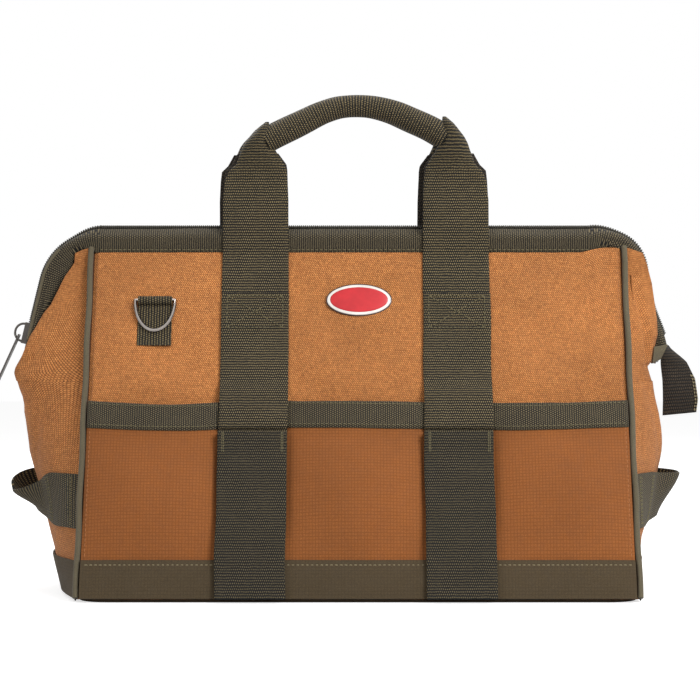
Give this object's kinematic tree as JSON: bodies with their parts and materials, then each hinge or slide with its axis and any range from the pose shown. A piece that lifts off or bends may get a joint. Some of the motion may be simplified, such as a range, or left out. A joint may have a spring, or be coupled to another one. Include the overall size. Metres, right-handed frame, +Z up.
{
  "type": "tool bag",
  "caption": "Wide-mouth canvas tool bag with a hinged rod frame, zip mouth, outer pockets, hammer loops and folding webbing handles.",
  "frame": {"origin": "middle of the underside of the base panel", "axes": "+X along the bag towards its right end, +Z up, -Y out of the front wall"},
  "size_m": [0.5241, 0.2286, 0.3675],
  "materials": {
    "canvas": "orange tan twill",
    "ripstop": "orange tan ripstop weave",
    "webbing": "dark olive brown webbing",
    "boot_cloth": "dark brown ripstop",
    "board": "matte black stiffener board",
    "zip_tape": "near black coil zip",
    "rod_steel": "plain steel rod and rivets",
    "nickel": "bright nickel plate",
    "badge_enamel": "bare red oval with a pale rim"
  },
  "bodies": {
    "root": {"base_panel": "boot_cloth", "base_board": "board", "left_end_panel": "canvas", "right_end_panel": "canvas", "left_end_boot": "boot_cloth", "right_end_boot": "boot_cloth", "left_hammer_loop": "webbing", "right_hammer_loop": "webbing"},
    "front_wall": {"front_panel": "canvas", "front_pocket": "ripstop", "front_pocket_binding": "webbing", "front_boot": "boot_cloth", "front_left_piping": "webbing", "front_left_strap": "webbing", "front_left_strap_overlay": "webbing", "front_left_gusset": "canvas", "front_right_piping": "webbing", "front_right_strap": "webbing", "front_right_strap_overlay": "webbing", "front_right_gusset": "canvas", "front_top_binding": "webbing", "front_zip_tape": "zip_tape", "ring_tab": "webbing", "badge": "badge_enamel"},
    "back_wall": {"back_panel": "canvas", "back_pocket": "ripstop", "back_pocket_binding": "webbing", "back_boot": "boot_cloth", "back_left_piping": "webbing", "back_left_strap": "webbing", "back_left_strap_overlay": "webbing", "back_left_gusset": "canvas", "back_right_piping": "webbing", "back_right_strap": "webbing", "back_right_strap_overlay": "webbing", "back_right_gusset": "canvas", "back_top_binding": "webbing", "back_zip_tape": "zip_tape"},
    "front_frame": {"front_frame": "rod_steel", "front_left_leg_binding": "webbing", "front_left_leg_zip_tape": "zip_tape", "left_rivet": "rod_steel", "front_right_leg_binding": "webbing", "front_right_leg_zip_tape": "zip_tape", "right_rivet": "rod_steel"},
    "back_frame": {"back_frame": "rod_steel", "back_left_leg_binding": "webbing", "back_left_leg_zip_tape": "zip_tape", "left_burr": "rod_steel", "back_right_leg_binding": "webbing", "back_right_leg_zip_tape": "zip_tape", "right_burr": "rod_steel"},
    "front_handle": {"front_handle": "webbing"},
    "back_handle": {"back_handle": "webbing"},
    "d_ring": {"d_ring": "nickel"},
    "zip_slider": {"zip_slider": "nickel", "zip_bail": "nickel"},
    "zip_pull": {"zip_pull": "nickel"},
    "zip_end_tab": {"zip_end_tab": "webbing"}
  },
  "joints": [
    {"name": "front_wall_swing", "type": "hinge", "parent": "root", "child": "front_wall", "pos_m": [0, -0.107, 0.001], "axis": [1, 0, 0], "range_deg": [0, 15]},
    {"name": "back_wall_swing", "type": "hinge", "parent": "root", "child": "back_wall", "pos_m": [0, 0.107, 0.001], "axis": [-1, 0, 0], "range_deg": [0, 15]},
    {"name": "front_frame_swing", "type": "hinge", "parent": "front_wall", "child": "front_frame", "pos_m": [0, -0.0066, 0.26], "axis": [1, 0, 0], "range_deg": [0, 42]},
    {"name": "back_frame_swing", "type": "hinge", "parent": "back_wall", "child": "back_frame", "pos_m": [0, 0.0066, 0.26], "axis": [-1, 0, 0], "range_deg": [0, 42]},
    {"name": "front_handle_fold", "type": "hinge", "parent": "front_wall", "child": "front_handle", "pos_m": [0, -0.02512, 0.21884], "axis": [1, 0, 0], "range_deg": [0, 150]},
    {"name": "back_handle_fold", "type": "hinge", "parent": "back_wall", "child": "back_handle", "pos_m": [0, 0.02512, 0.21884], "axis": [-1, 0, 0], "range_deg": [0, 150]},
    {"name": "d_ring_swing", "type": "hinge", "parent": "front_wall", "child": "d_ring", "pos_m": [-0.149, -0.02806, 0.21364], "axis": [-1, 0, 0], "range_deg": [0, 150]},
    {"name": "zip_slide", "type": "slide", "parent": "front_frame", "child": "zip_slider", "axis": [0.2368, 0, 0.9716], "range_m": [0, 0.034]},
    {"name": "zip_pull_swing", "type": "hinge", "parent": "zip_slider", "child": "zip_pull", "pos_m": [-0.25447, 0, 0.18541], "axis": [0, 1, 0], "range_deg": [0, 35]},
    {"name": "end_tab_swing", "type": "hinge", "parent": "front_frame", "child": "zip_end_tab", "pos_m": [0.22735, 0, 0.1762], "axis": [0, -1, 0], "range_deg": [0, 60]}
  ],
  "couplings": [
    {"joint": "back_wall_swing", "follows": "front_wall_swing", "ratio": 1},
    {"joint": "front_frame_swing", "follows": "front_wall_swing", "ratio": 2.7687},
    {"joint": "back_frame_swing", "follows": "front_wall_swing", "ratio": 2.7687}
  ]
}
